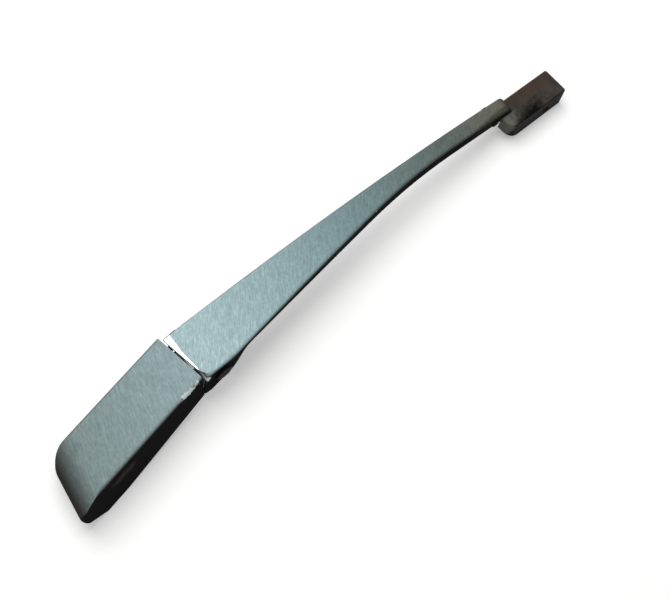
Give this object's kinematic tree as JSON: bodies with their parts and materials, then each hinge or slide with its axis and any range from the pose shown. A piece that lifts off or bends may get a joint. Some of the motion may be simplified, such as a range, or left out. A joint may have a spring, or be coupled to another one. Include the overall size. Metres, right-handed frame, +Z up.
{
  "type": "wiper arm",
  "caption": "Vehicle wiper arm: cast pivot head under a flip-up hood, hinged tapered pressed-steel arm with a pull spring, and a forked blade connector.",
  "frame": {"origin": "on the shaft axis, in the plane of the hub's underside", "axes": "+X along the arm to the blade end, +Y along the hinge pin, +Z up, away from the glass"},
  "size_m": [0.3436, 0.0483, 0.029],
  "materials": {
    "hood_plastic": "moulded, rubbed down to a matte grey",
    "arm_paint": "matte grey paint over pressed steel, rubbed down",
    "head_casting": "as cast",
    "pin_steel": "drawn bright steel",
    "pin_paint": "black painted rivet heads",
    "link_steel": "stamped and zinc plated",
    "spring_steel": "drawn spring wire",
    "connector_plastic": "moulded, fine texture",
    "bush_plastic": "moulded, smooth"
  },
  "bodies": {
    "head": {"pivot_head": "head_casting", "hinge_bush_left": "bush_plastic", "hinge_bush_right": "bush_plastic", "anchor_pin": "pin_steel"},
    "hood": {"hood": "hood_plastic"},
    "arm": {"arm_channel": "arm_paint", "hinge_pin": "pin_paint", "spring_post": "pin_paint", "blade_connector": "connector_plastic", "connector_rivet": "pin_paint"},
    "spring": {"tension_spring": "spring_steel"},
    "link": {"spring_link": "link_steel"}
  },
  "joints": [
    {"name": "arm_raise", "type": "hinge", "parent": "head", "child": "arm", "pos_m": [0.068, 0.009, 0.0175], "axis": [0, -1, 0], "range_deg": [0, 60], "stiffness_Nm_per_rad": 0.8, "springref_deg": -45.84},
    {"name": "hood_flip", "type": "hinge", "parent": "head", "child": "hood", "pos_m": [0.04653, 0.00904, 0.022], "axis": [-0.1908, 0.9816, 0], "range_deg": [0, 90]},
    {"name": "spring_swing", "type": "hinge", "parent": "arm", "child": "spring", "pos_m": [0.15, 0.012, 0.0233], "axis": [0, 1, 0], "range_deg": [0, 4.3]},
    {"name": "link_stretch", "type": "slide", "parent": "spring", "child": "link", "axis": [-0.9879, 0, -0.1553], "range_m": [0, 0.0046], "deforming": ["tension_spring"]}
  ],
  "couplings": [
    {"joint": "spring_swing", "follows": "arm_raise", "ratio": 0.0689},
    {"joint": "link_stretch", "follows": "arm_raise", "m_per_rad": 0.004076}
  ]
}
